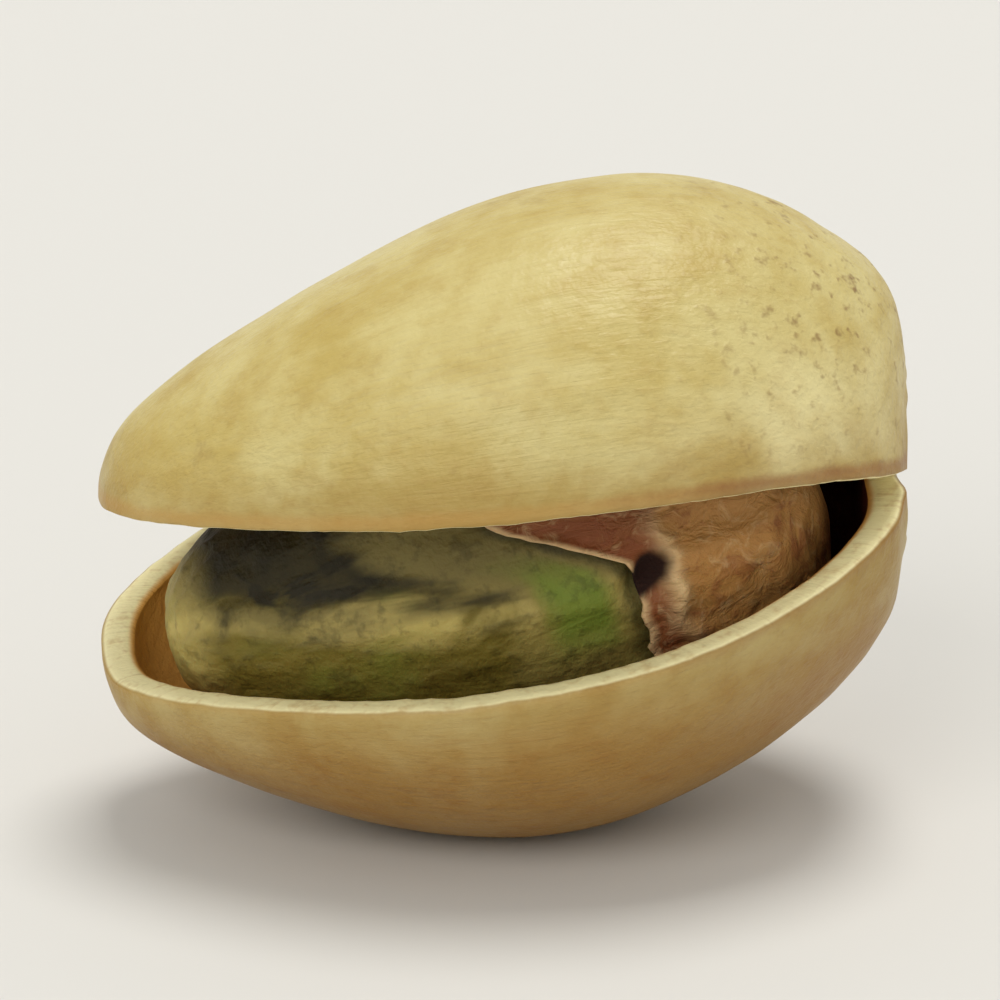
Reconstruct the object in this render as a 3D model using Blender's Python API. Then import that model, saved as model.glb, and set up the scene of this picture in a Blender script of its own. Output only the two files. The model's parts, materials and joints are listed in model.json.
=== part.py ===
"""A pistachio in its split shell: a one-piece shell whose mouth has opened, the kernel that lies
in it, and the papery skin that still covers the kernel's base end.

Blender 4.5, metres, +Z up. The nut's long axis runs along X, with its pointed apex at -X and its
base, where it hung, at +X. The mouth faces -Y. The nut rests on a small flat spot at z = 0.
"""

import math

import bmesh
import bpy
from mathutils import Matrix, Vector

MM = 0.001

# The shell as it was before it split. Its belly slants: on top it is fuller toward the base.
SHELL_LENGTH = 19.4 * MM
SHELL_WIDTH = 12.2 * MM
SHELL_HEIGHT = 13.0 * MM
WALL = 0.9 * MM
FULLEST_SIDE = 1.42
FULLEST_PLAN = 1.15
BLUNT_BASE = 0.18
BLUNT_APEX = 0.16
BELLY_SLANT = 0.14
KEEL = 0.35 * MM
BASE_SCAR = 0.18 * MM

# The mouth: how fast it widens away from its closed corner at the base, and how wide it gets. The shell
# bends softly over its hinge line, except at the crack itself.
MOUTH_CORNER = Vector((9.2 * MM, -0.7 * MM))
WIDENS_TO_APEX = 0.25
WIDENS_TO_FRONT = 0.60
WIDEST_MOUTH = 5.0 * MM
NARROWEST_CRACK = 0.05 * MM
HINGE_SOFTNESS = 3.0 * MM
LEAN_SOFTNESS = 5.0 * MM

# The kernel, and where its middle lies in the nut.
KERNEL_LENGTH = 15.7 * MM
KERNEL_WIDTH = 8.7 * MM
KERNEL_HEIGHT = 9.4 * MM
KERNEL_CENTRE = Vector((-0.42 * MM, -0.15 * MM, -1.15 * MM))
KERNEL_PITCH = math.radians(-5.5)
KERNEL_ROLL = math.radians(7.0)
KERNEL_GROOVE = 0.25 * MM

# The skin left on the kernel. Solids keep this gap from each other.
GAP = 0.3 * MM
SKIN = 0.25 * MM
TEAR_AT = 0.58
TEAR_WAVES = ((0.07, 1, -1.6), (0.04, 2, 1.6), (0.02, 5, 2.1))

# How the nut comes to rest on its lower valve.
REST_PITCH = math.radians(-8.0)
REST_ROLL = math.radians(0.0)
FLAT_DEPTH = 0.22 * MM

# The unit ball that each piece is shaped from, and its wall where it has one.
BALL_WALL = 0.2
HAIRLINE = 1e-4
SHELL_MESH = (44, 26)
KERNEL_MESH = (32, 18)


def clear_scene():
    for thing in list(bpy.data.objects):
        bpy.data.objects.remove(thing)


def girth(along, fullest):
    """Share of the full girth at a place from 0 at the apex to 1 at the base. Both ends are blunt."""
    swell = max(0.0, math.sin(math.pi * min(1.0, along) ** fullest))
    return swell ** (0.5 - BLUNT_BASE * along**2 - BLUNT_APEX * (1 - min(1.0, along)) ** 6)


def mouth_reach(point):
    """How far past the hinge line a point of the nut's plan lies, counted as width of the mouth."""
    return WIDENS_TO_APEX * (MOUTH_CORNER.x - point.x) + WIDENS_TO_FRONT * (MOUTH_CORNER.y - point.y)


def parted(reach, softness):
    """How far the valves have parted there, and how fast that grows. A softness rounds the bend."""
    slant = max(math.hypot(reach, softness), 1e-9)
    opened = (reach + slant) / 2
    levelling = 1 + (opened / WIDEST_MOUTH) ** 4
    return opened / levelling**0.25, (1 + reach / slant) / 2 / levelling**1.25


def closed_shell_point(along, across, up, inset):
    """A point of the unsplit shell, inset from its outside by so much."""
    keel = KEEL * across**8 * math.sin(math.pi * along)
    x = (along - 0.5) * (SHELL_LENGTH - 2 * inset)
    x -= BASE_SCAR * max(0.0, (along - 0.97) / 0.03) ** 2
    y = across * ((SHELL_WIDTH / 2 - inset) * girth(along, FULLEST_PLAN) + keel)
    z = up * (SHELL_HEIGHT / 2 - inset) * girth(along, FULLEST_SIDE)
    return Vector((x, y, z))


def place_on_ball(point):
    """A point's place along the axis, 0 at the apex and 1 at the base, and its shares sideways and up."""
    way = point.normalized()
    around = max(math.hypot(way.y, way.z), 1e-9)
    return (1 + way.x) / 2, way.y / around, way.z / around


def is_inside(point):
    """True for a point on the inner side of a thickened ball."""
    return point.length < 1 - BALL_WALL / 2


def shell_point(point):
    """Where a point of the thickened ball ends up in the split shell."""
    along, across, up = place_on_ball(point)
    reach = mouth_reach(closed_shell_point(along, across, up, 0.0))
    shaped = closed_shell_point(along, across, up, WALL if is_inside(point) else 0.0)
    side = 0.0 if abs(point.z) < HAIRLINE / 2 else math.copysign(0.5, point.z)
    gap = parted(reach, HINGE_SOFTNESS * abs(up))[0]
    lean = parted(reach, LEAN_SOFTNESS)[1] * abs(shaped.z) / 2
    z = shaped.z + side * gap
    x = shaped.x + WIDENS_TO_APEX * lean + BELLY_SLANT * z
    return Vector((x, shaped.y + WIDENS_TO_FRONT * lean, z))


def kernel_point(point, proud=0.0):
    """Where a point of the unit ball ends up on the kernel, or so much proud of it."""
    along, across, up = place_on_ball(point)
    groove = KERNEL_GROOVE * across**10 * math.sin(math.pi * along)
    x = (along - 0.5) * (KERNEL_LENGTH + 2 * proud)
    y = across * ((KERNEL_WIDTH / 2 + proud) * girth(along, 1.08) - groove)
    z = up * (KERNEL_HEIGHT / 2 + proud) * girth(along, 1.16)
    turn = Matrix.Rotation(KERNEL_PITCH, 3, "Y") @ Matrix.Rotation(KERNEL_ROLL, 3, "X")
    return KERNEL_CENTRE + turn @ Vector((x, y, z))


def unit_ball(bm, mesh):
    """Adds a ball with its poles on X, and a meridian along each side, at -Y and at +Y."""
    spokes, rings = mesh
    turn = Matrix.Rotation(math.radians(90), 4, "Y")
    bmesh.ops.create_uvsphere(bm, u_segments=spokes, v_segments=rings, radius=1.0, matrix=turn)


def is_in_crack(edge):
    """True for an edge of the suture where the valves have parted."""
    if any(abs(v.co.z) > HAIRLINE / 2 for v in edge.verts):
        return False
    for v in edge.verts:
        along, across, up = place_on_ball(v.co)
        if mouth_reach(closed_shell_point(along, across, up, 0.0)) > NARROWEST_CRACK:
            return True
    return False


def part_the_valves(bm):
    """Splits the ball along the suture, and parts it there by a hairline."""
    bmesh.ops.split_edges(bm, edges=[e for e in bm.edges if is_in_crack(e)])
    rim = {v for e in bm.edges if e.is_boundary for v in e.verts}
    for v in rim:
        middle = sum(f.calc_center_median().z for f in v.link_faces) / len(v.link_faces)
        if abs(middle) > HAIRLINE:
            v.co.z = math.copysign(HAIRLINE, middle)


def rest_turn():
    """The turn from the nut's own axes to how it lies."""
    return Matrix.Rotation(REST_PITCH, 4, "Y") @ Matrix.Rotation(REST_ROLL, 4, "X")


def flatten_rest_spot(bm):
    """Wears the belly flat where the nut rests."""
    turn = rest_turn()
    lowest = min(bm.verts, key=lambda v: (turn @ v.co).z)
    down = turn.inverted().to_3x3() @ Vector((0, 0, -1))
    level = lowest.co - down * FLAT_DEPTH
    geometry = bm.verts[:] + bm.edges[:] + bm.faces[:]
    cut = bmesh.ops.bisect_plane(
        bm, geom=geometry, dist=1e-8, plane_co=level, plane_no=down, clear_outer=True
    )
    edges = [g for g in cut["geom_cut"] if isinstance(g, bmesh.types.BMEdge)]
    bmesh.ops.contextual_create(bm, geom=edges)


def shaded(name, colour, roughness):
    """A material with the piece's plain colour."""
    material = bpy.data.materials.new(name)
    material.use_nodes = True
    surface = material.node_tree.nodes["Principled BSDF"]
    surface.inputs["Base Color"].default_value = (*colour, 1.0)
    surface.inputs["Roughness"].default_value = roughness
    surface.inputs["Metallic"].default_value = 0.0
    return material


def add_piece(name, bm, material, holder):
    bmesh.ops.recalc_face_normals(bm, faces=bm.faces[:])
    mesh = bpy.data.meshes.new(name)
    bm.to_mesh(mesh)
    bm.free()
    mesh.shade_smooth()
    mesh.set_sharp_from_angle(angle=math.radians(40))
    mesh.materials.append(material)
    piece = bpy.data.objects.new(name, mesh)
    bpy.context.scene.collection.objects.link(piece)
    piece.parent = holder
    return piece


def thicken(bm):
    """Gives an open skin of the unit ball its second side, and walls round its open edge."""
    made = bmesh.ops.extrude_face_region(bm, geom=bm.faces[:], use_keep_orig=True)
    inner = [g for g in made["geom"] if isinstance(g, bmesh.types.BMVert)]
    bmesh.ops.scale(bm, verts=inner, vec=Vector((1, 1, 1)) * (1 - BALL_WALL))


def make_shell(holder):
    """One skin, split along the suture from the mouth's corner past the apex, and given its wall."""
    bm = bmesh.new()
    unit_ball(bm, SHELL_MESH)
    part_the_valves(bm)
    thicken(bm)
    for v in bm.verts:
        v.co = shell_point(v.co)
    flatten_rest_spot(bm)
    return add_piece("shell", bm, shaded("shell", (0.50, 0.38, 0.15), 0.5), holder)


def make_kernel(holder):
    bm = bmesh.new()
    unit_ball(bm, KERNEL_MESH)
    for v in bm.verts:
        v.co = kernel_point(v.co)
    return add_piece("kernel", bm, shaded("kernel", (0.20, 0.19, 0.05), 0.45), holder)


def torn_point(point):
    """Slides a point of the base half of a ball so that the half's edge follows the tear."""
    around = math.atan2(point.z, point.y)
    tear = TEAR_AT + sum(size * math.sin(count * around + shift) for size, count, shift in TEAR_WAVES)
    along = (1 + point.normalized().x) / 2
    kept = 2 * tear - 1 + (2 - 2 * tear) * (2 * along - 1)
    ring = math.sqrt(max(0.0, 1 - kept * kept))
    return Vector((kept, ring * math.cos(around), ring * math.sin(around)))


def make_kernel_skin(holder):
    """A thin cup over the kernel's base end, with an uneven torn edge."""
    bm = bmesh.new()
    unit_ball(bm, KERNEL_MESH)
    apex_half = [v for v in bm.verts if v.co.x < -HAIRLINE]
    bmesh.ops.delete(bm, geom=apex_half, context="VERTS")
    thicken(bm)
    for v in bm.verts:
        v.co = kernel_point(torn_point(v.co), GAP if is_inside(v.co) else GAP + SKIN)
    return add_piece("kernel_skin", bm, shaded("kernel_skin", (0.30, 0.14, 0.04), 0.6), holder)


def set_down(holder, shell):
    """Turns the nut to how it lies, stands its flat spot on z = 0 and centres it on the origin."""
    holder.matrix_world = rest_turn()
    bpy.context.view_layer.update()
    corners = [shell.matrix_world @ v.co for v in shell.data.vertices]
    low = Vector(min(c[axis] for c in corners) for axis in range(3))
    high = Vector(max(c[axis] for c in corners) for axis in range(3))
    middle = (low + high) / 2
    holder.location = Vector((-middle.x, -middle.y, -low.z))


def main():
    clear_scene()
    nut = bpy.data.objects.new("nut", None)
    bpy.context.scene.collection.objects.link(nut)
    shell = make_shell(nut)
    make_kernel(nut)
    make_kernel_skin(nut)
    set_down(nut, shell)


main()
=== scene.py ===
"""A pistachio lying in its split shell: the woody shell with its seam sprung open, the green kernel
in the mouth, and the brown papery skin that is left on the kernel's base end.

The nut's own axes: X runs from the pointed apex to the base where the nut hung, the mouth opens
toward -Y, and the seam lies in the plane Z = 0 until the valves part. The nut then turns to how it
lies, and takes its place on the frame.
"""

import json
import math

import bmesh
import bpy
from bpy.props import FloatProperty, FloatVectorProperty, IntProperty, PointerProperty
from bpy.types import Operator, Panel, PropertyGroup
from mathutils import Matrix, Vector, noise

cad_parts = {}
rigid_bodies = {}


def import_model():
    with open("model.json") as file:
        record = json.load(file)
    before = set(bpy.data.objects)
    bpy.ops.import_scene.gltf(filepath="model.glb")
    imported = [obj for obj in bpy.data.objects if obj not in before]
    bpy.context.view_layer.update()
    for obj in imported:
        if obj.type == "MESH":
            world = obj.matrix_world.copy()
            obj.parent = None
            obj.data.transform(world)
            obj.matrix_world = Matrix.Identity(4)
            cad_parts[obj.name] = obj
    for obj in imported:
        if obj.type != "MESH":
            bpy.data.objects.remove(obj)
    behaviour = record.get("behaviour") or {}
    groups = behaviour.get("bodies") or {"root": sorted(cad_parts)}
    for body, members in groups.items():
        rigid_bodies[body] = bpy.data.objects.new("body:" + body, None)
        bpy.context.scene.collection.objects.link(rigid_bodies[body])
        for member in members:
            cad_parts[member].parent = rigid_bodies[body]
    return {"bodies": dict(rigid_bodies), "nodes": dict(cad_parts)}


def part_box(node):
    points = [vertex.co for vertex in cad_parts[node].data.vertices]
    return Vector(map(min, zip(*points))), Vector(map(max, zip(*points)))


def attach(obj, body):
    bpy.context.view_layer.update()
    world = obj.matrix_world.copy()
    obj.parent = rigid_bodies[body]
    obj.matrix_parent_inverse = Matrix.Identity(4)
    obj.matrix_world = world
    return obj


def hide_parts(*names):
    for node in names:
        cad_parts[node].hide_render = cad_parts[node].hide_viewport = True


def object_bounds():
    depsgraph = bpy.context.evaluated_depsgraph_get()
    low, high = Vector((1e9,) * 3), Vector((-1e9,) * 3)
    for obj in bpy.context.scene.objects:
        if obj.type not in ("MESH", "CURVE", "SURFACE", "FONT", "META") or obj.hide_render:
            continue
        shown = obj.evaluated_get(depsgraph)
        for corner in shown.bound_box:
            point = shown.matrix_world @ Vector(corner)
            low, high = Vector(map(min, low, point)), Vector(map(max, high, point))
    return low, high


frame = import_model()
cad_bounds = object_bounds()

bl_info = {
    "name": "Pistachio in Shell",
    "version": (1, 0, 0),
    "blender": (4, 5, 0),
    "location": "3D View > Sidebar > Pistachio",
    "description": "Makes a pistachio with its shell sprung open, and a plain studio to show it in",
    "category": "Add Mesh",
}

MM = 0.001

# How much blunter than an ellipse's the ends of the shell and the kernel are.
BLUNT_APEX = 0.16
BLUNT_BASE = 0.18

# The unit ball that each piece is shaped from: its wall, where the piece has one, and the gap that
# first parts it along the seam.
BALL_WALL = 0.2
HAIRLINE = 1e-4

# The valves count as parted where the mouth would be wider than this.
NARROWEST_CRACK = 0.05 * MM

# Divisions, round and along, of the coarse shell that the frame holds.
FRAME_SPOKES = 44
FRAME_RINGS = 26

# How strongly the shell's mesh is drawn together at the seam, where its rims are.
SEAM_CROWDING = 0.45

# The scar lies past this place, from 0 at the apex to 1 at the base, and has so many ridges round it.
NEAR_BASE = 0.9
SCAR_RIDGES = 15

# The pit by the tear and the loose fold behind it, on the kernel's front: shares of the way along the
# kernel, and up from its middle.
PIT_ALONG = 0.722
PIT_UP = 0.18
FOLD_ALONG = 0.758
FOLD_UP = 0.12

# Where the tear turns toward the base and back again, in degrees round the kernel. 180 is the front.
BARED_FROM = (138, 170)
BARED_TO = (205, 250)

# Each light: where it shines from, its strength, its spread in degrees, and its colour.
LIGHTS = {
    "key": ((0.06, 0.08, 0.45), 1.7, 24, (1.0, 0.98, 0.94)),
    "fill": ((-0.22, -0.34, 0.30), 1.0, 40, (1.0, 0.98, 0.95)),
}


# Sizes and colours

def size(name, millimetres, description):
    """A length of the nut, given here in millimetres."""
    return FloatProperty(
        name=name, description=description, default=millimetres * MM, unit="LENGTH", precision=5
    )


def number(name, value, description):
    return FloatProperty(name=name, description=description, default=value)


def length(name, metres, description):
    return FloatProperty(name=name, description=description, default=metres, unit="LENGTH")


def angle(name, degrees, description):
    return FloatProperty(
        name=name, description=description, default=math.radians(degrees), subtype="ANGLE"
    )


def point(name, millimetres, description):
    """A place in the nut's own axes, given here in millimetres."""
    metres = [coordinate * MM for coordinate in millimetres]
    return FloatVectorProperty(
        name=name, description=description, default=metres, subtype="XYZ", precision=5
    )


def linear(shade):
    """One channel of a screen colour, from 0 to 255, as light."""
    part = shade / 255
    return part / 12.92 if part <= 0.04045 else ((part + 0.055) / 1.055) ** 2.4


def colour(name, screen, description):
    """A colour, given here as a screen shows it."""
    light = [linear(shade) for shade in screen] + [1.0]
    return FloatVectorProperty(
        name=name, description=description, default=light, size=4, min=0.0, max=1.0, subtype="COLOR"
    )


class ShellSizes(PropertyGroup):
    """The shell as it was before it split, and the relief of its surface"""

    length: size("Length", 19.4, "Apex to base")
    width: size("Width", 12.2, "Across the seam's plane")
    depth: size("Depth", 13.0, "Through both valves")
    wall: size("Wall", 0.9, "Thickness of the shell")
    thin_rim: size("Thinner rim", 0.12, "How much thinner the wall is at the rims of the mouth")
    fullest_side: number("Fullest in side view", 1.42, "Above 1, the belly is nearer the base")
    fullest_plan: number("Fullest in plan", 1.15, "Above 1, the belly is nearer the base")
    belly_slant: number("Belly slant", 0.14, "How far the valves' bellies have slid past each other")
    keel: size("Keel", 0.35, "Height of the keel along the seam")
    scar: size("Scar radius", 1.7, "Scar at the base, where the nut hung")
    waves: size("Waves", 0.16, "Height of the broad unevenness of the outside")
    ribs: size("Ribs", 0.022, "Height of the fine lengthwise ribs")
    spokes: IntProperty(name="Spokes", description="Mesh divisions round the nut", default=232)
    rings: IntProperty(name="Rings", description="Mesh divisions along the nut", default=144)


class MouthSizes(PropertyGroup):
    """How far the seam has sprung open, and how the nut lies"""

    corner: point("Corner", (9.2, -0.7, 0.0), "The mouth's closed corner, by the base")
    to_apex: number("Widens to the apex", 0.25, "Mouth width gained for each length toward the apex")
    to_front: number("Widens to the front", 0.60, "Mouth width gained for each length toward the front")
    widest: size("Widest", 5.0, "The width that the mouth levels off at")
    hinge: size("Hinge softness", 3.0, "How softly the shell bends over its hinge line")
    lean: size("Lean softness", 5.0, "How gradually the valves lean back")
    pitch: angle("Pitch", -8.0, "Below 0, the base end is raised as the nut lies")


class KernelSizes(PropertyGroup):
    """The kernel and where it lies in the nut's axes"""

    length: size("Length", 15.7, "Apex to base")
    width: size("Width", 8.7, "Across")
    height: size("Height", 9.4, "Top to bottom")
    centre: point("Centre", (-0.42, -0.15, -1.15), "Middle of the kernel")
    pitch: angle("Pitch", -5.5, "Below 0, its base end is raised")
    roll: angle("Roll", 7.0, "How far it is rolled toward the mouth")
    fullest_side: number("Fullest in side view", 1.16, "Above 1, its middle is nearer the base")
    fullest_plan: number("Fullest in plan", 1.08, "Above 1, its middle is nearer the base")
    groove: size("Groove", 0.25, "Depth of the broad groove along each side")
    wrinkles: size("Wrinkles", 0.26, "Height of the lengthwise wrinkles")
    ridge: size("Ridge", 0.22, "Height of the ridge along each side, over the furrow above it")
    pit: size("Pit", 0.7, "Depth of the pit by the tear")
    spokes: IntProperty(name="Spokes", description="Mesh divisions round the kernel", default=176)
    rings: IntProperty(name="Rings", description="Mesh divisions along the kernel", default=120)


class SkinSizes(PropertyGroup):
    """The papery skin that is left on the kernel"""

    lift: size("Lift", 0.10, "How far the skin stands off the kernel")
    thickness: size("Thickness", 0.08, "Thickness of the skin")
    tear: number("Tear", 0.50, "Where the torn edge runs, from 0 at the apex to 1 at the base")
    bared: number("Bared", 0.21, "How much nearer the base the tear is in the mouth")
    ragged: number("Raggedness", 0.022, "Depth of the torn edge's notches")
    curl: size("Curl", 0.22, "How far the torn edge stands up")
    fold: size("Fold", 0.30, "How far the loose fold behind the tear stands up")
    crinkles: size("Crinkles", 0.10, "Height of the skin's creases")
    spokes: IntProperty(name="Spokes", description="Mesh divisions round the skin", default=220)
    rings: IntProperty(name="Rings", description="Mesh divisions of the whole ball", default=150)


class NutColours(PropertyGroup):
    """Colours of the nut and the floor"""

    shell_pale: colour("Shell, pale", (205, 191, 129), "The paler cream of the shell")
    shell_tan: colour("Shell, tan", (184, 161, 84), "The shell's yellower tan")
    # Shell, brown: brown mottles and streaks, and painted shade on the lower valve's belly.
    shell_brown: colour("Shell, brown", (148, 101, 34), "Belly and shaded streaks")
    stain: colour("Stain", (120, 82, 40), "Small brown stains")
    scar: colour("Scar", (192, 180, 146), "Scar at the base")
    rim: colour("Rim", (246, 236, 182), "Split face of the shell's wall")
    rim_edge: colour("Rim edge", (190, 146, 74), "Outside of the shell next to the mouth")
    # Rim edge, base: painted shade of the rim's underside, darker and redder than the rim edge.
    rim_red: colour("Rim edge, base", (144, 92, 46), "The same by the mouth's closed corner")
    lining: colour("Lining", (230, 172, 88), "Inside of the shell")
    lining_dark: colour("Lining, dark", (92, 40, 20), "Inside of the shell toward the base")
    olive: colour("Kernel, olive", (116, 102, 38), "Bare flesh of the kernel")
    green: colour("Kernel, green", (108, 128, 42), "Freshest flesh, near the tear")
    # Kernel, pale: painted highlight along the ridge, and the paler apex end of the kernel.
    pale: colour("Kernel, pale", (190, 172, 100), "Rubbed ridge and apex end of the kernel")
    # Kernel, dark: painted shadow over the ridge and along the top, dark rags of skin, and dark flecks.
    dark: colour("Kernel, dark", (34, 29, 8), "Flesh over the ridge, and dried rags of skin")
    skin: colour("Skin", (178, 128, 68), "Papery skin")
    skin_red: colour("Skin, red", (132, 72, 36), "Folds of the skin, and its part next to the tear")
    skin_torn: colour("Skin, torn", (222, 188, 138), "Torn edge of the skin, and its fold")
    # Painted shadow in the pit by the tear.
    pit_shadow: colour("Hollow", (40, 18, 11), "Depth of the pit by the tear")
    floor: colour("Floor", (214, 213, 209), "Plain floor")


class StageSizes(PropertyGroup):
    """Camera and floor"""

    azimuth: angle("Azimuth", -3.0, "Camera's turn about the nut, 0 in front of the mouth")
    elevation: angle("Elevation", 21.0, "Camera's height over the floor, as an angle")
    lens: number("Lens", 260.0, "Focal length, in millimetres")
    filled: number("Filled", 0.80, "Share of the image's width that the nut fills")
    floor: length("Floor", 4.0, "Length of the floor's side")
    backdrop: length("Backdrop", 0.9, "Height that the floor sweeps up to, far out")


class PistachioSizes(PropertyGroup):
    """Everything that a user can change"""

    shell: PointerProperty(type=ShellSizes)
    mouth: PointerProperty(type=MouthSizes)
    kernel: PointerProperty(type=KernelSizes)
    skin: PointerProperty(type=SkinSizes)
    colours: PointerProperty(type=NutColours)
    stage: PointerProperty(type=StageSizes)


# Shape of the nut

def girth(along, fullest):
    """Share of the full girth at a place from 0 at the apex to 1 at the base. Both ends are blunt."""
    swell = max(0.0, math.sin(math.pi * min(1.0, along) ** fullest))
    return swell ** (0.5 - BLUNT_BASE * along**2 - BLUNT_APEX * (1 - min(1.0, along)) ** 6)


def closed_point(shell, along, across, up, inset):
    """A point of the unsplit shell, inset from its outside by so much."""
    keel = shell.keel * across**8 * math.sin(math.pi * along)
    x = (along - 0.5) * (shell.length - 2 * inset)
    x -= 0.1 * shell.scar * max(0.0, (along - 0.97) / 0.03) ** 2
    y = across * ((shell.width / 2 - inset) * girth(along, shell.fullest_plan) + keel)
    z = up * (shell.depth / 2 - inset) * girth(along, shell.fullest_side)
    return Vector((x, y, z))


def mouth_reach(mouth, place):
    """How far past the hinge line a point of the nut's plan lies, counted as width of the mouth."""
    return mouth.to_apex * (mouth.corner[0] - place.x) + mouth.to_front * (mouth.corner[1] - place.y)


def parted(mouth, reach, softness):
    """How far the valves have parted there, and how fast that grows. A softness rounds the bend."""
    slant = max(math.hypot(reach, softness), 1e-9)
    opened = (reach + slant) / 2
    levelling = 1 + (opened / mouth.widest) ** 4
    return opened / levelling**0.25, (1 + reach / slant) / 2 / levelling**1.25


def spring_open(shell, mouth, shaped, reach, up, side):
    """Moves a point of the closed shell with its valve, as the mouth springs open."""
    gap = parted(mouth, reach, mouth.hinge * abs(up))[0]
    lean = parted(mouth, reach, mouth.lean)[1] * abs(shaped.z) / 2
    z = shaped.z + side * gap
    x = shaped.x + mouth.to_apex * lean + shell.belly_slant * z
    return Vector((x, shaped.y + mouth.to_front * lean, z))


def place_on_ball(spot):
    """A point's place along the axis, 0 at the apex and 1 at the base, and its shares sideways and up."""
    way = spot.normalized()
    around = max(math.hypot(way.y, way.z), 10 * HAIRLINE)
    return (1 + way.x) / 2, way.y / around, way.z / around


def on_ball(along, across, up):
    """The point of the unit ball that such a place comes from. Patterns there close up at both ends."""
    ring = math.sqrt(max(0.0, 1 - (2 * along - 1) ** 2))
    return Vector((2 * along - 1, ring * across, ring * up))


def ripple(spot, lengthwise, crosswise, shift):
    """Smooth noise on the unit ball, with its own number of ripples each way."""
    return noise.noise(Vector((lengthwise * spot.x, crosswise * spot.y, crosswise * spot.z + shift)))


def valve_side(spot):
    """Plus a half on the upper valve, minus a half on the lower one, and 0 on the closed seam."""
    return 0.0 if abs(spot.z) < HAIRLINE / 2 else math.copysign(0.5, spot.z)


def hump(distance, reach):
    """1 at no distance, falling smoothly away over the reach."""
    return math.exp(-((distance / reach) ** 2))


def ease(value, low, high):
    """0 below low and 1 above high, with a smooth step between them."""
    part = min(1.0, max(0.0, (value - low) / (high - low)))
    return part * part * (3 - 2 * part)


def scar_relief(shell, radius, around):
    """The sunken scar at the base, its raised edge and the short ridges that run in from it."""
    share_out = radius / shell.scar
    ridges = math.cos(SCAR_RIDGES * around + 2 * math.sin(3 * around)) * hump(share_out - 0.72, 0.26)
    edge = (0.75 + 0.25 * math.sin(2 * around + 1)) * hump(share_out - 1.0, 0.17)
    return (0.11 * edge - 0.24 * hump(share_out, 0.62) + 0.055 * ridges) * MM


def in_scar(shell, along, closed):
    """1 in the scar at the base, and 0 past its edge."""
    if along <= NEAR_BASE:
        return 0.0
    return 1 - ease(math.hypot(closed.y, closed.z), 0.8 * shell.scar, 1.2 * shell.scar)


def shell_relief(shell, along, across, up, closed, reach):
    """How far the outside stands proud of its smooth shape."""
    broad = noise.noise(closed / (4.2 * MM)) + 0.35 * noise.noise(closed / (1.7 * MM))
    ball = on_ball(along, across, up)
    rib = ripple(ball, 0.9, 6.5, 7.7)
    fine_rib = ripple(ball, 1.4, 16.0, 1.3)
    relief = shell.waves * 0.5 * broad + shell.ribs * (rib + 0.5 * fine_rib) * (0.5 + along)
    if along > NEAR_BASE:
        relief += scar_relief(shell, math.hypot(closed.y, closed.z), math.atan2(up, across))
    seam = abs(closed.z)
    if reach < 0:
        shut = ease(-reach, 0.0, 0.5 * MM)
        relief += shut * (0.05 * MM * hump(seam, 0.6 * MM) - 0.11 * MM * hump(seam, 0.13 * MM))
    else:
        relief += 0.04 * MM * hump(seam, 0.5 * MM) * ease(reach, 0.0, 1.0 * MM)
    return relief


def rim_lift(shell, along, across, depth, opened):
    """How far the split face stands into the mouth: rounded at its edges, and a little chipped."""
    face = 1 - (2 * depth - 1) ** 4
    place = Vector((math.copysign(along * 9.0, across), 4.0, 0.0))
    chips = 0.6 * noise.noise(place) + 0.35 * noise.noise(place * 3.3) + 0.25 * noise.noise(place * 9.1)
    return (0.09 * MM * face + 0.08 * MM * chips) * ease(opened, 0.0, 1.2 * MM)


# Mesh building

def unit_ball(bm, spokes, rings):
    """Adds a ball with its poles on X, and a meridian along each side, at -Y and at +Y."""
    turn = Matrix.Rotation(math.radians(90), 4, "Y")
    bmesh.ops.create_uvsphere(bm, u_segments=spokes, v_segments=rings, radius=1.0, matrix=turn)


def crowd_to_seam(bm, crowding):
    """Draws the ball's meridians closer together at the seam."""
    for v in bm.verts:
        ring = math.hypot(v.co.y, v.co.z)
        around = math.atan2(v.co.z, v.co.y)
        around -= crowding / 2 * math.sin(2 * around)
        height = 0.0 if abs(v.co.z) < HAIRLINE / 2 else ring * math.sin(around)
        v.co = Vector((v.co.x, ring * math.cos(around), height))


def is_in_crack(shell, mouth, edge):
    """True for an edge of the seam where the valves have parted."""
    if any(abs(v.co.z) > HAIRLINE / 2 for v in edge.verts):
        return False
    for v in edge.verts:
        if mouth_reach(mouth, closed_point(shell, *place_on_ball(v.co), 0.0)) > NARROWEST_CRACK:
            return True
    return False


def part_the_valves(bm, shell, mouth):
    """Splits the ball along the seam, and parts it there by a hairline."""
    bmesh.ops.split_edges(bm, edges=[e for e in bm.edges if is_in_crack(shell, mouth, e)])
    rim = {v for e in bm.edges if e.is_boundary for v in e.verts}
    for v in rim:
        middle = sum(f.calc_center_median().z for f in v.link_faces) / len(v.link_faces)
        if abs(middle) > HAIRLINE:
            v.co.z = math.copysign(HAIRLINE, middle)


def thicken(bm, rim_cuts):
    """Gives an open skin of the unit ball its second side, and a wall of several bands round its edge."""
    made = bmesh.ops.extrude_face_region(bm, geom=bm.faces[:], use_keep_orig=True)
    inner = {g for g in made["geom"] if isinstance(g, bmesh.types.BMVert)}
    bmesh.ops.scale(bm, verts=list(inner), vec=Vector((1, 1, 1)) * (1 - BALL_WALL))
    through = [e for e in bm.edges if (e.verts[0] in inner) != (e.verts[1] in inner)]
    bmesh.ops.subdivide_edges(bm, edges=through, cuts=rim_cuts, use_grid_fill=True)


def wall_depth(spot):
    """0 on the outside of a thickened ball, 1 on its inside, and between them through the rim."""
    return min(1.0, max(0.0, (1 - spot.length) / BALL_WALL))


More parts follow.
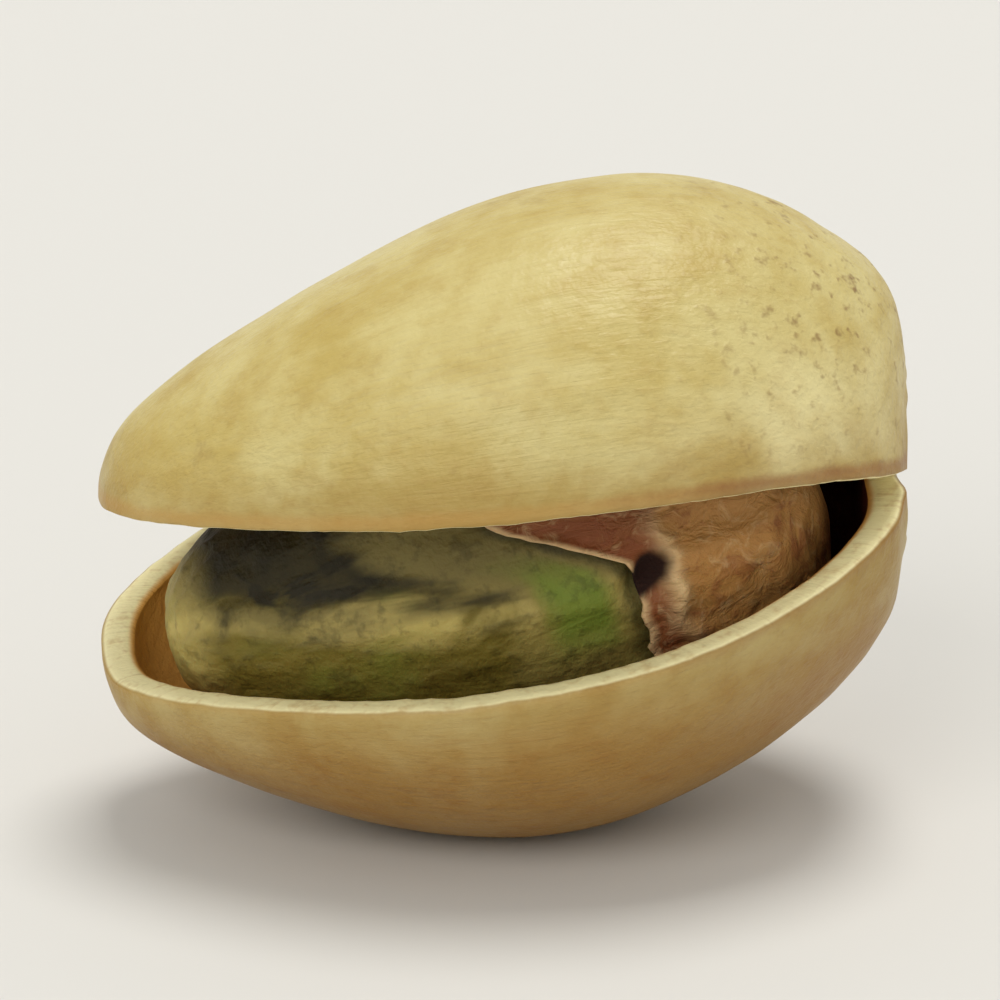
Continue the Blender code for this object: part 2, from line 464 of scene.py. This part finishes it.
def rest_place(sizes):
    """The turn and the move from the nut's own axes to how it lies on the frame."""
    turn = Matrix.Rotation(sizes.mouth.pitch, 4, "Y")
    bm = bmesh.new()
    unit_ball(bm, FRAME_SPOKES, FRAME_RINGS)
    part_the_valves(bm, sizes.shell, sizes.mouth)
    outline = []
    for v in bm.verts:
        along, across, up = place_on_ball(v.co)
        closed = closed_point(sizes.shell, along, across, up, 0.0)
        reach = mouth_reach(sizes.mouth, closed)
        opened = spring_open(sizes.shell, sizes.mouth, closed, reach, up, valve_side(v.co))
        outline.append(turn @ opened)
    bm.free()
    low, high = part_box("shell")
    shift = (low + high) / 2
    for axis in range(2):
        places = [spot[axis] for spot in outline]
        shift[axis] -= (min(places) + max(places)) / 2
    shift.z = high.z - max(spot.z for spot in outline)
    return Matrix.Translation(shift) @ turn


def finish_piece(bm, name, node, material):
    """Turns the mesh into the object that stands for its node of the frame."""
    bmesh.ops.recalc_face_normals(bm, faces=bm.faces[:])
    mesh = bpy.data.meshes.new(name)
    bm.to_mesh(mesh)
    bm.free()
    mesh.shade_smooth()
    mesh.materials.append(material)
    piece = bpy.data.objects.new(name, mesh)
    bpy.context.scene.collection.objects.link(piece)
    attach(piece, "root")
    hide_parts(node)


def build_shell_mesh(sizes):
    """The whole shell: its outside, its rims and its inside, sprung open and set down."""
    shell = sizes.shell
    mouth = sizes.mouth
    bm = bmesh.new()
    unit_ball(bm, shell.spokes, shell.rings)
    crowd_to_seam(bm, SEAM_CROWDING)
    part_the_valves(bm, shell, mouth)
    thicken(bm, rim_cuts=5)
    grain = bm.verts.layers.float_vector.new("grain")
    depth_layer = bm.verts.layers.float.new("wall_depth")
    rim_layer = bm.verts.layers.float.new("near_rim")
    scar_layer = bm.verts.layers.float.new("scar")
    place = rest_place(sizes)
    floor_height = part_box("shell")[0].z
    for v in bm.verts:
        along, across, up = place_on_ball(v.co)
        depth = wall_depth(v.co)
        side = valve_side(v.co)
        closed = closed_point(shell, along, across, up, 0.0)
        reach = mouth_reach(mouth, closed)
        opened = parted(mouth, reach, 0.0)[0]
        near_rim = hump(closed.z, 0.5 * MM) * ease(reach, -0.2 * MM, 0.6 * MM)
        wall = shell.wall - shell.thin_rim * hump(closed.z, 1.5 * MM) * ease(reach, 0.0, 1.0 * MM)
        relief = shell_relief(shell, along, across, up, closed, reach)
        shaped = closed_point(shell, along, across, up, depth * wall - (1 - depth) * relief)
        if side and abs(v.co.z) < 2 * HAIRLINE:
            shaped.z -= 2 * side * rim_lift(shell, along, across, depth, opened)
        v[grain] = on_ball(along, across, up)
        v[depth_layer] = depth
        v[rim_layer] = near_rim
        v[scar_layer] = (1 - depth) * in_scar(shell, along, closed)
        v.co = place @ spring_open(shell, mouth, shaped, reach, up, side)
        v.co.z = max(v.co.z, floor_height)
    return bm


def kernel_point(kernel, along, across, up, proud):
    """A point of the kernel, or so much proud of it, in the nut's axes."""
    groove = kernel.groove * across**10 * math.sin(math.pi * along)
    x = (along - 0.5) * (kernel.length + 2 * proud)
    y = across * ((kernel.width / 2 + proud) * girth(along, kernel.fullest_plan) - groove)
    z = up * (kernel.height / 2 + proud) * girth(along, kernel.fullest_side)
    turn = Matrix.Rotation(kernel.pitch, 3, "Y") @ Matrix.Rotation(kernel.roll, 3, "X")
    return Vector(kernel.centre) + turn @ Vector((x, y, z))


def ridge_height(along):
    """How high the ridge runs on the kernel's sides. It dips from the apex and then levels off."""
    return 0.17 + 0.5 * max(0.0, 1 - 1.8 * along) ** 2


def pit(along, across, up):
    """1 in the pit that the tear has left at the mouth, 0 away from it."""
    wobble = 0.02 * noise.noise(Vector((9 * up, 4.0, 2.0))) - 0.12 * (up - 0.17)
    return hump(along - PIT_ALONG + wobble, 0.028) * hump(up - PIT_UP, 0.12) if across < 0 else 0.0


def kernel_relief(kernel, along, across, up):
    """The ridge and furrow along each side, wrinkles that run the same way, and the pit."""
    ball = on_ball(along, across, up)
    wrinkle = ripple(ball, 1.4, 2.6, 0.3)
    fold = 1 - 2 * abs(ripple(ball, 2.4, 5.5, 6.0))
    fine = ripple(ball, 7.0, 12.0, 9.0)
    over_ridge = up - ridge_height(along) - 0.08 * noise.noise(Vector((5 * along, 3.0, 1.0)))
    ridge = hump(over_ridge, 0.14) - 0.8 * hump(over_ridge - 0.3, 0.16)
    ridge *= math.sin(math.pi * along) * abs(across)
    relief = kernel.wrinkles * (0.5 * wrinkle + 0.3 * fold + 0.12 * fine) + kernel.ridge * ridge
    return relief - kernel.pit * pit(along, across, up)


def tear_line(skin, around):
    """How far along the kernel the torn edge runs at a place round it."""
    ring = Vector((math.cos(around), math.sin(around), 0.0))
    notches = 0.9 * noise.noise(ring * 2.2) + 0.6 * noise.noise(ring * 7.5) + 0.3 * noise.noise(ring * 19.0)
    degrees = math.degrees(around) % 360
    bared = ease(degrees, *BARED_FROM) * (1 - ease(degrees, *BARED_TO))
    return skin.tear + skin.bared * bared + skin.ragged * notches


def loose_fold(along, across, up):
    """1 on the crest of the fold that stands up behind the tear, at the mouth."""
    wander = 0.018 * noise.noise(Vector((5 * up, 2.0, 7.0)))
    wander += 0.008 * noise.noise(Vector((21 * up, 2.0, 7.0)))
    front = hump(up - FOLD_UP, 0.36) if across < 0 else 0.0
    return hump(along - FOLD_ALONG - wander + 0.02 * up, 0.014) * front


def build_kernel_mesh(sizes):
    """The kernel: a plump almond shape with wrinkled sides."""
    kernel = sizes.kernel
    bm = bmesh.new()
    unit_ball(bm, kernel.spokes, kernel.rings)
    grain = bm.verts.layers.float_vector.new("grain")
    tear_layer = bm.verts.layers.float.new("from_tear")
    ridge_layer = bm.verts.layers.float.new("over_ridge")
    place = rest_place(sizes)
    for v in bm.verts:
        along, across, up = place_on_ball(v.co)
        v[grain] = on_ball(along, across, up)
        v[tear_layer] = (tear_line(sizes.skin, math.atan2(up, across)) - along) * kernel.length / MM
        v[ridge_layer] = up - ridge_height(along)
        relief = kernel_relief(kernel, along, across, up)
        v.co = place @ kernel_point(kernel, along, across, up, relief)
    return bm


def build_skin_mesh(sizes):
    """The skin: a thin cup on the kernel's base end, crinkled, with a ragged edge that stands up."""
    kernel = sizes.kernel
    skin = sizes.skin
    bm = bmesh.new()
    unit_ball(bm, skin.spokes, skin.rings)
    bmesh.ops.delete(bm, geom=[v for v in bm.verts if v.co.x < -HAIRLINE], context="VERTS")
    thicken(bm, rim_cuts=1)
    grain = bm.verts.layers.float_vector.new("grain")
    tear_layer = bm.verts.layers.float.new("from_tear")
    fold_layer = bm.verts.layers.float.new("fold")
    pit_layer = bm.verts.layers.float.new("pit")
    place = rest_place(sizes)
    for v in bm.verts:
        around = math.atan2(v.co.z, v.co.y)
        across = math.cos(around)
        up = math.sin(around)
        tear = tear_line(skin, around)
        along = tear + (1 - tear) * (2 * place_on_ball(v.co)[0] - 1)
        behind = (along - tear) * kernel.length
        ball = on_ball(along, across, up)
        crease = 1 - 2 * abs(ripple(ball, 3.5, 5.0, 3.3)) + 0.5 * ripple(ball, 8.0, 10.0, 0.0)
        stand = 0.3 + 1.4 * abs(noise.noise(Vector((3 * across, 3 * up, 5.1))))
        fold = loose_fold(along, across, up)
        proud = skin.lift + skin.crinkles * 0.5 * (0.6 + crease) * ease(behind, 0.0, 1.0 * MM)
        proud += skin.curl * stand * hump(behind, 0.4 * MM) + skin.fold * fold
        proud += skin.thickness * (1 - wall_depth(v.co)) + kernel_relief(kernel, along, across, up)
        v[grain] = on_ball(along, across, up)
        v[tear_layer] = -behind / MM
        v[fold_layer] = fold
        v[pit_layer] = pit(along, across, up)
        v.co = place @ kernel_point(kernel, along, across, up, proud)
    return bm


# Materials

class Wire:
    """A node's output that shader maths is written with: each operator adds its Math node."""

    def __init__(self, finish, socket):
        self.finish = finish
        self.socket = socket

    def __add__(self, other):
        return self.finish.math("ADD", self, other)

    def __sub__(self, other):
        return self.finish.math("SUBTRACT", self, other)

    def __rsub__(self, other):
        return self.finish.math("SUBTRACT", other, self)

    def __mul__(self, other):
        return self.finish.math("MULTIPLY", self, other)

    __radd__ = __add__
    __rmul__ = __mul__


class Finish:
    """A material, built up node by node. Values that are the same all over are set on its shader."""

    def __init__(self, name, **uniform):
        self.material = bpy.data.materials.new(name)
        self.material.use_nodes = True
        self.tree = self.material.node_tree
        self.surface = self.tree.nodes["Principled BSDF"]
        for socket, value in uniform.items():
            self.surface.inputs[socket.replace("_", " ")].default_value = value

    def node(self, kind, settings, values, output=0):
        """Adds a node: first its settings, then the values or wires of its sockets."""
        made = self.tree.nodes.new(kind)
        for setting, value in settings.items():
            setattr(made, setting, value)
        for socket, value in values.items():
            self.feed(made.inputs[socket], value)
        return Wire(self, made.outputs[output])

    def feed(self, socket, value):
        if isinstance(value, Wire):
            self.tree.links.new(value.socket, socket)
        else:
            socket.default_value = value

    def surface_takes(self, **wires):
        """Joins wires to the shader's sockets, named with underscores for spaces."""
        for socket, wire in wires.items():
            self.feed(self.surface.inputs[socket.replace("_", " ")], wire)

    def math(self, operation, first, second):
        return self.node("ShaderNodeMath", {"operation": operation}, {0: first, 1: second})

    def attribute(self, name, output="Fac"):
        return self.node("ShaderNodeAttribute", {"attribute_name": name}, {}, output)

    def axis(self, vector, name):
        return self.node("ShaderNodeSeparateXYZ", {}, {0: vector}, name)

    def place(self):
        """The object's own coordinates, in metres."""
        return self.node("ShaderNodeTexCoord", {}, {}, "Object")

    def stretched(self, vector, scale, location=(0.0, 0.0, 0.0)):
        return self.node("ShaderNodeMapping", {}, {"Vector": vector, "Scale": scale, "Location": location})

    def noise(self, vector, scale, detail=3.0, roughness=0.5, distortion=0.0):
        values = {
            "Vector": vector,
            "Scale": scale,
            "Detail": detail,
            "Roughness": roughness,
            "Distortion": distortion,
        }
        return self.node("ShaderNodeTexNoise", {}, values)

    def step(self, value, low, high):
        """0 below low and 1 above high, smooth between them. Turned round if low is above high."""
        smooth = {"interpolation_type": "SMOOTHSTEP"}
        values = {"Value": value, "From Min": low, "From Max": high}
        return self.node("ShaderNodeMapRange", smooth, values)

    def mix(self, factor, first, second):
        """From the first colour, at factor 0, to the second, at 1."""
        return self.node("ShaderNodeMix", {"data_type": "RGBA"}, {0: factor, 6: first, 7: second}, 2)

    def bump(self, height, distance, strength=1.0):
        """Turns a height from 0 to 1 into small relief, so many metres high."""
        values = {"Height": height, "Distance": distance, "Strength": strength}
        return self.node("ShaderNodeBump", {}, values)


def shell_finish(colours):
    """Woody shell: cream and tan patches with fine stains, painted shade on the lower valve and by the
    mouth, a painted highlight toward the base, a pale split face and a tan lining.
    """
    made = Finish("nutshell", Specular_IOR_Level=0.42)
    grain = made.attribute("grain", "Vector")
    depth = made.attribute("wall_depth")
    near_rim = made.attribute("near_rim")
    scar = made.attribute("scar")
    along = made.axis(grain, "X") * 0.5 + 0.5
    up = made.axis(grain, "Z")
    place = made.place()
    patches = made.noise(place, 210.0, 4.0, 0.6, 0.3)
    mottle = made.noise(place, 900.0, 4.0, 0.65)
    streaks = made.noise(made.stretched(grain, (1.3, 8.0, 8.0)), 1.0, 4.0, 0.55, 0.3)
    hairs = made.noise(made.stretched(grain, (4.0, 50.0, 50.0)), 1.0, 3.0, 0.6, 0.4)
    speckle = made.noise(place, 2900.0, 2.0, 0.6)

    tan = made.step(patches * 0.6 + streaks * 0.2 + mottle * 0.2, 0.38, 0.62)
    outside = made.mix(tan * 0.9, colours.shell_pale, colours.shell_tan)
    # Painted highlight: pale patches on the upper valve's front, toward the base.
    painted_highlight_toward_base = made.step(along, 0.55, 0.85) * made.step(up, 0.55, 0.2) * made.step(up, -0.02, 0.1)
    outside = made.mix(painted_highlight_toward_base * made.step(patches, 0.7, 0.35) * 0.45, outside, colours.rim)
    # Painted shade browns the lower valve's belly, and brown mottles and hair streaks are added to it.
    belly_shade_and_mottle = made.step(up - patches * 0.5, 0.15, -0.75) * 0.8 + made.step(mottle, 0.48, 0.75) * 0.12
    outside = made.mix(belly_shade_and_mottle + made.step(hairs, 0.5, 0.75) * 0.10, outside, colours.shell_brown)
    stains = made.step(made.noise(place, 560.0, 4.0, 0.7, 0.3), 0.60, 0.74) * made.step(patches, 0.42, 0.6)
    shoulder = made.step(along, 0.62, 0.93) * made.step(up, -0.2, 0.5)
    dots = made.step(speckle, 0.56, 0.76) * (shoulder * 0.7 + 0.06)
    outside = made.mix(stains * 0.3 + dots, outside, colours.stain)
    scar_shade = made.mix(made.step(mottle, 0.45, 0.72) * 0.6, colours.scar, colours.shell_tan)
    outside = made.mix(made.step(scar + mottle * 0.25, 0.3, 0.9) * 0.7, outside, scar_shade)
    # A band next to the mouth on the upper valve stands for the rim's orange underside. Toward the base it
    # darkens and reddens with painted shade.
    edge_shade = made.mix(made.step(along + mottle * 0.3, 0.68, 0.95), colours.rim_edge, colours.rim_red)
    edging = made.step(near_rim + (patches + mottle) * 0.4, 0.85, 1.35) * made.step(up, -0.05, 0.05)
    outside = made.mix(edging * 0.55 + edging * made.step(along, 0.5, 0.8) * 0.3, outside, edge_shade)

    inward = made.step(streaks * 0.5 + along * 0.6, 0.35, 0.85)
    lining = made.mix(inward, colours.lining, colours.lining_dark)
    rim = made.mix(made.step(hairs * 0.4 + speckle * 0.6, 0.48, 0.68) * 0.4, colours.rim, colours.rim_edge)
    rim = made.mix(made.step(depth, 0.75, 0.98), rim, colours.lining)
    wall = made.mix(made.step(depth, 0.02, 0.12), outside, rim)
    made.surface_takes(Base_Color=made.mix(made.step(depth, 0.985, 1.0), wall, lining))

    rough = 0.44 + (patches - 0.5) * 0.25 + made.step(depth, 0.05, 0.2) * 0.12 + scar * 0.2
    made.surface_takes(Roughness=rough + (speckle - 0.5) * 0.12 - made.step(depth, 0.98, 1.0) * 0.15)
    relief = streaks * 0.4 + mottle * 0.5 + hairs * 0.3 + speckle * 0.4
    made.surface_takes(Normal=made.bump(relief, 0.00013, 0.8))
    return made.material


def kernel_finish(colours):
    """Nut flesh: olive, with painted shadow over the ridge and a painted highlight along it, and fresh
    green next to the tear.
    """
    made = Finish("kernel_flesh", Specular_IOR_Level=0.25, Subsurface_Weight=0.1, Subsurface_Scale=0.0006)
    grain = made.attribute("grain", "Vector")
    over_ridge = made.attribute("over_ridge")
    from_tear = made.attribute("from_tear")
    along = made.axis(grain, "X") * 0.5 + 0.5
    up = made.axis(grain, "Z")
    place = made.place()
    clouds = made.noise(place, 420.0, 4.0, 0.6, 0.4)
    lengthwise = made.noise(made.stretched(grain, (2.5, 6.5, 6.5)), 1.0, 3.0, 0.5, 0.5)
    fine = made.noise(place, 2600.0, 3.0, 0.6)

    flesh = made.mix(made.step(clouds, 0.45, 0.70) * 0.35, colours.olive, colours.green)
    wavy = over_ridge + (lengthwise - 0.5) * 0.28
    # Painted highlight: a pale band along the ridge, broken up by clouds.
    ridge_highlight = made.step(wavy, -0.18, -0.03) * made.step(wavy, 0.17, 0.05)
    flesh = made.mix(ridge_highlight * made.step(clouds, 0.30, 0.5) * 0.85, flesh, colours.pale)
    rags = made.step(lengthwise, 0.54, 0.66) * made.step(from_tear, 0.8, 3.0)
    # Painted shadow: the flesh over the ridge and along the top, under the upper valve, is darkened.
    over = made.step(wavy, 0.09, 0.26) * 0.4 + made.step(up + (lengthwise - 0.5) * 0.6, 0.1, 0.36) * 0.72
    flesh = made.mix((over + rags * 0.2) * (0.6 + clouds * 0.5), flesh, colours.dark)
    flesh = made.mix(made.step(from_tear + lengthwise * 2.0, 4.6, 3.6) * 0.3, flesh, colours.pale)
    fresh = made.step(from_tear + clouds * 1.6, 3.2, 2.3) * made.step(from_tear + clouds, 0.8, 1.4)
    fresh = fresh * made.step(up + clouds * 0.4, 0.7, 0.35) * made.step(up + clouds * 0.4, -0.08, 0.22)
    flesh = made.mix(fresh * 0.9, flesh, colours.green)
    flesh = made.mix(made.step(from_tear + clouds, 1.0, 0.5) * 0.6, flesh, colours.dark)
    flesh = made.mix(made.step(along + clouds * 0.05, 0.12, 0.05) * 0.6, flesh, colours.pale)
    flesh = made.mix(made.step(fine, 0.5, 0.7) * 0.35, flesh, colours.dark)
    made.surface_takes(Base_Color=flesh)
    made.surface_takes(Roughness=0.6 + (clouds - 0.5) * 0.3)
    made.surface_takes(Normal=made.bump(lengthwise * 0.5 + clouds * 0.5 + fine * 0.4, 0.00028, 0.85))
    return made.material


def skin_finish(colours):
    """Papery skin: tan with redder veins, red-brown next to the tear, pale where torn or folded, and
    painted shadow in the pit.
    """
    made = Finish("papery_skin", Specular_IOR_Level=0.35, Subsurface_Weight=0.08, Subsurface_Scale=0.0004)
    grain = made.attribute("grain", "Vector")
    from_tear = made.attribute("from_tear")
    along = made.axis(grain, "X") * 0.5 + 0.5
    veins = made.noise(made.stretched(grain, (4.5, 8.5, 8.5)), 1.0, 4.0, 0.6, 1.2)
    clouds = made.noise(made.place(), 500.0, 4.0, 0.6)
    fibres = made.noise(made.place(), 1500.0, 4.0, 0.6, 1.5)

    red = made.step(veins * 0.6 + clouds * 0.4, 0.50, 0.64) * 0.7 + made.step(along, 0.765, 0.74) * 0.9
    shade = made.mix(red, colours.skin, colours.skin_red)
    shade = made.mix(made.step(fibres, 0.52, 0.72) * 0.35, shade, colours.skin_torn)
    torn = made.step(from_tear + clouds * 0.5, -0.05, 0.22) * 0.8 + made.attribute("fold") * 0.9
    shade = made.mix(torn, shade, colours.skin_torn)
    # Painted shadow: the pit by the tear is filled with near-black brown.
    pit_shadow = made.step(made.attribute("pit") + clouds * 0.5, 0.42, 0.78)
    made.surface_takes(Base_Color=made.mix(pit_shadow, shade, colours.pit_shadow))
    made.surface_takes(Roughness=0.58 + (clouds - 0.5) * 0.3 + pit_shadow * 0.4)
    made.surface_takes(Normal=made.bump(veins * 0.8 + fibres * 0.5, 0.00020, 0.9))
    return made.material


def floor_finish(colours):
    """Plain pale floor with a barely uneven sheen."""
    made = Finish("plain_floor", Specular_IOR_Level=0.3)
    mottle = made.noise(made.place(), 6.0, 3.0, 0.5)
    duller = (0.7, 0.7, 0.69, 1.0)
    made.surface_takes(Base_Color=made.mix(mottle * 0.05, colours.floor, duller))
    made.surface_takes(Roughness=0.62 + mottle * 0.1)
    return made.material


# Stage

def add_floor(stage, colours):
    """A wide floor that is level round the nut and sweeps up into its own backdrop far out."""
    bm = bmesh.new()
    bmesh.ops.create_grid(bm, x_segments=64, y_segments=64, size=stage.floor / 2)
    for v in bm.verts:
        v.co.z = stage.backdrop * ease(v.co.length, 0.25 * stage.floor, 0.5 * stage.floor)
    mesh = bpy.data.meshes.new("floor")
    bm.to_mesh(mesh)
    bm.free()
    mesh.shade_smooth()
    mesh.materials.append(floor_finish(colours))
    floor = bpy.data.objects.new("floor", mesh)
    bpy.context.scene.collection.objects.link(floor)


def add_light(name, place, strength, spread, tint):
    """A broad, far light that shines from the place toward the nut, so the whole floor is evenly lit."""
    lamp = bpy.data.lights.new(name, "SUN")
    lamp.angle = math.radians(spread)
    lamp.energy = strength
    lamp.color = tint
    light = bpy.data.objects.new(name, lamp)
    light.location = place
    light.rotation_euler = Vector(place).to_track_quat("Z", "Y").to_euler()
    bpy.context.scene.collection.objects.link(light)


def add_camera(stage, target, width):
    """A camera that looks down at the nut from in front of its mouth, and that the nut's width fills."""
    camera = bpy.data.cameras.new("camera")
    camera.lens = stage.lens
    camera.clip_start = 0.01
    distance = width / stage.filled * stage.lens / camera.sensor_width
    level = Vector((math.sin(stage.azimuth), -math.cos(stage.azimuth), 0.0))
    back = level * math.cos(stage.elevation) + Vector((0.0, 0.0, math.sin(stage.elevation)))
    viewer = bpy.data.objects.new("camera", camera)
    viewer.location = target + back * distance
    viewer.rotation_euler = (-back).to_track_quat("-Z", "Y").to_euler()
    bpy.context.scene.collection.objects.link(viewer)
    bpy.context.scene.camera = viewer


def light_the_room():
    """Even pale light from all sides."""
    world = bpy.data.worlds.new("studio")
    world.use_nodes = True
    background = world.node_tree.nodes["Background"]
    background.inputs["Color"].default_value = (1.0, 0.99, 0.97, 1.0)
    background.inputs["Strength"].default_value = 0.5
    bpy.context.scene.world = world


# Operators

class PISTACHIO_OT_shell(Operator):
    """Make the split shell"""

    bl_idname = "pistachio.shell"
    bl_label = "Shell"

    def execute(self, context):
        sizes = context.scene.pistachio
        finish_piece(build_shell_mesh(sizes), "nut_shell", "shell", shell_finish(sizes.colours))
        return {"FINISHED"}


class PISTACHIO_OT_kernel(Operator):
    """Make the kernel"""

    bl_idname = "pistachio.kernel"
    bl_label = "Kernel"

    def execute(self, context):
        sizes = context.scene.pistachio
        finish_piece(build_kernel_mesh(sizes), "nut_kernel", "kernel", kernel_finish(sizes.colours))
        return {"FINISHED"}


class PISTACHIO_OT_skin(Operator):
    """Make the papery skin on the kernel's base end"""

    bl_idname = "pistachio.skin"
    bl_label = "Kernel skin"

    def execute(self, context):
        sizes = context.scene.pistachio
        finish_piece(build_skin_mesh(sizes), "nut_skin", "kernel_skin", skin_finish(sizes.colours))
        return {"FINISHED"}


class PISTACHIO_OT_stage(Operator):
    """Set up the floor, the lights and the camera"""

    bl_idname = "pistachio.stage"
    bl_label = "Floor, lights and camera"

    def execute(self, context):
        sizes = context.scene.pistachio
        low, high = cad_bounds
        middle = (low + high) / 2
        add_floor(sizes.stage, sizes.colours)
        light_the_room()
        bpy.context.scene.view_settings.view_transform = "Standard"
        for name, settings in LIGHTS.items():
            add_light(name, *settings)
        add_camera(sizes.stage, middle, high.x - low.x)
        return {"FINISHED"}


class PISTACHIO_PT_panel(Panel):
    """Lists the nut's pieces and its stage"""

    bl_idname = "PISTACHIO_PT_panel"
    bl_label = "Pistachio in Shell"
    bl_space_type = "VIEW_3D"
    bl_region_type = "UI"
    bl_category = "Pistachio"

    def draw(self, context):
        sizes = context.scene.pistachio
        for operator, group in PANEL_ROWS:
            box = self.layout.box()
            box.operator(operator)
            for name in group:
                self.list_group(box, getattr(sizes, name))

    def list_group(self, box, group):
        for name in group.__annotations__:
            box.prop(group, name)


PANEL_ROWS = (
    ("pistachio.shell", ("shell", "mouth")),
    ("pistachio.kernel", ("kernel",)),
    ("pistachio.skin", ("skin",)),
    ("pistachio.stage", ("stage", "colours")),
)

CLASSES = (
    ShellSizes,
    MouthSizes,
    KernelSizes,
    SkinSizes,
    NutColours,
    StageSizes,
    PistachioSizes,
    PISTACHIO_OT_shell,
    PISTACHIO_OT_kernel,
    PISTACHIO_OT_skin,
    PISTACHIO_OT_stage,
    PISTACHIO_PT_panel,
)


def register():
    for made in CLASSES:
        bpy.utils.register_class(made)
    bpy.types.Scene.pistachio = PointerProperty(type=PistachioSizes)


def unregister():
    del bpy.types.Scene.pistachio
    for made in reversed(CLASSES):
        bpy.utils.unregister_class(made)


def clear_startup_objects():
    """Removes what a new file holds, and leaves the frame."""
    kept = set(frame["nodes"].values()) | set(frame["bodies"].values())
    for thing in list(bpy.data.objects):
        if thing not in kept:
            bpy.data.objects.remove(thing)


def main():
    register()
    clear_startup_objects()
    bpy.ops.pistachio.shell()
    bpy.ops.pistachio.kernel()
    bpy.ops.pistachio.skin()
    bpy.ops.pistachio.stage()


if __name__ == "__main__":
    main()
